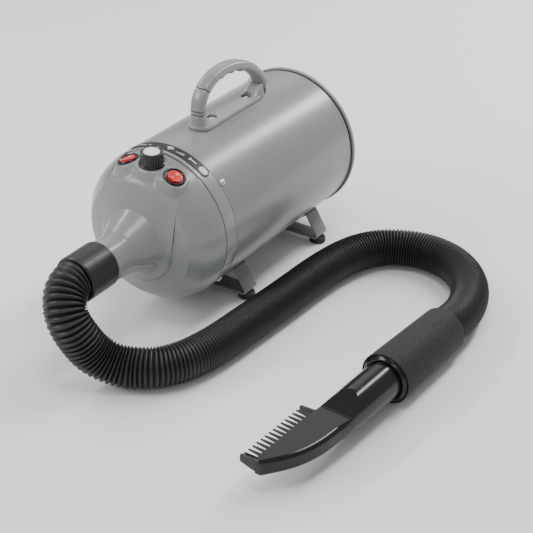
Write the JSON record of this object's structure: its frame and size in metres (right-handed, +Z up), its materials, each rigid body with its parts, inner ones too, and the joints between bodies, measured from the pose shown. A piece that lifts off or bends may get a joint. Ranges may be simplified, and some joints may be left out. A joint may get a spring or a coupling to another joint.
{
  "type": "pet dryer",
  "caption": "Portable grooming blower: round sheet-steel barrel on strap feet with carrying handle, knob and rocker switches, corrugated hose, grip sleeve and comb nozzle.",
  "frame": {"origin": "on the floor, under the middle of the dryer: the middle of its width across X and of its length along Y, spigot to rear rim, without the hose and what is on it", "axes": "+Z up; +Y along the barrel's axis from the outlet spigot to the intake grille; +X across, towards the side where the hose lies"},
  "size_m": [0.3778, 0.4319, 0.2262],
  "materials": {
    "body_paint": "satin warm grey stoved paint on sheet steel",
    "cover_plastic": "satin warm grey moulded plastic",
    "rim_plastic": "light grey moulded plastic",
    "black_plastic": "black moulded plastic, satin gloss",
    "label": "charcoal printed strip",
    "switch_red": "translucent red moulding",
    "cap_silver": "bright spun disc",
    "bracket_steel": "dark grey coated strap steel",
    "black_rubber": "moulded black rubber",
    "sleeve_foam": "matt dark grey foam rubber",
    "hose_plastic": "black corrugated flexible plastic, satin",
    "bright_steel": "zinc plated steel",
    "grey_foam": "open-cell grey foam",
    "cast_alloy": "plain alloy",
    "copper": "enamelled copper windings on laminations",
    "carbon": "pressed carbon",
    "mica": "mica board",
    "ceramic": "white insulating body",
    "board": "green circuit board"
  },
  "bodies": {
    "housing": {"barrel": "body_paint", "front_cover": "cover_plastic", "control_nose": "cover_plastic", "label_strip": "label", "rear_gasket": "black_rubber", "rear_ring": "rim_plastic", "cord_grommet": "black_rubber", "cover_screw_1": "bright_steel", "cover_screw_2": "bright_steel", "cover_screw_3": "bright_steel", "cover_screw_4": "bright_steel", "speed_pot": "bright_steel", "left_switch": "black_plastic", "right_switch": "black_plastic", "handle_base": "cover_plastic", "handle_loop": "cover_plastic", "handle_grip": "cover_plastic", "handle_screw_front": "bright_steel", "handle_screw_rear": "bright_steel", "front_foot_bracket": "bracket_steel", "rear_foot_bracket": "bracket_steel", "front_bracket_rivet": "bright_steel", "rear_bracket_rivet": "bright_steel", "rubber_foot_front_left": "black_rubber", "rubber_foot_front_right": "black_rubber", "rubber_foot_rear_left": "black_rubber", "rubber_foot_rear_right": "black_rubber", "heater_plate": "mica", "heater_frame": "mica", "heater_coil": "bright_steel", "thermal_cutoff": "ceramic", "control_board": "board", "heatsink": "cast_alloy", "acoustic_liner": "grey_foam", "front_cushion": "black_rubber", "rear_cushion": "black_rubber", "rear_baffle": "bracket_steel", "fan_housing": "cast_alloy", "motor_frame": "cast_alloy", "stator": "copper", "front_bearing": "bright_steel", "rear_bearing": "bright_steel", "left_brush": "carbon", "right_brush": "carbon", "hose_cuff": "black_plastic", "hose_tube": "hose_plastic", "hose_end_cuff": "black_plastic", "grip_sleeve": "sleeve_foam"},
    "knob": {"knob": "black_plastic", "knob_cap": "cap_silver", "pot_shaft": "bright_steel"},
    "left_rocker": {"left_rocker": "switch_red"},
    "right_rocker": {"right_rocker": "switch_red"},
    "rotor": {"motor_shaft": "bright_steel", "armature": "copper", "commutator": "copper", "impeller": "cast_alloy"},
    "grille": {"intake_grille": "black_plastic", "filter_foam": "grey_foam"},
    "nozzle": {"nozzle": "black_plastic"}
  },
  "joints": [
    {"name": "knob_turn", "type": "hinge", "parent": "housing", "child": "knob", "pos_m": [0.00419, -0.0764, 0.16768], "axis": [-0.0575, 0.0349, -0.9977], "range_deg": [0, 280]},
    {"name": "left_rocker_tilt", "type": "hinge", "parent": "housing", "child": "left_rocker", "pos_m": [-0.02366, -0.0775, 0.1649], "axis": [0.9472, 0, 0.3206], "range_deg": [0, 16]},
    {"name": "right_rocker_tilt", "type": "hinge", "parent": "housing", "child": "right_rocker", "pos_m": [0.03154, -0.0775, 0.16172], "axis": [0.9041, 0, -0.4274], "range_deg": [0, 16]},
    {"name": "rotor_spin", "type": "hinge", "parent": "housing", "child": "rotor", "pos_m": [0, 0.08, 0.095], "axis": [0, 1, 0], "continuous": true},
    {"name": "grille_pull", "type": "slide", "parent": "housing", "child": "grille", "axis": [0, 1, 0], "range_m": [0, 0.03]},
    {"name": "nozzle_pull", "type": "slide", "parent": "housing", "child": "nozzle", "axis": [-0.0611, -0.9981, 0], "range_m": [0, 0.035]}
  ]
}
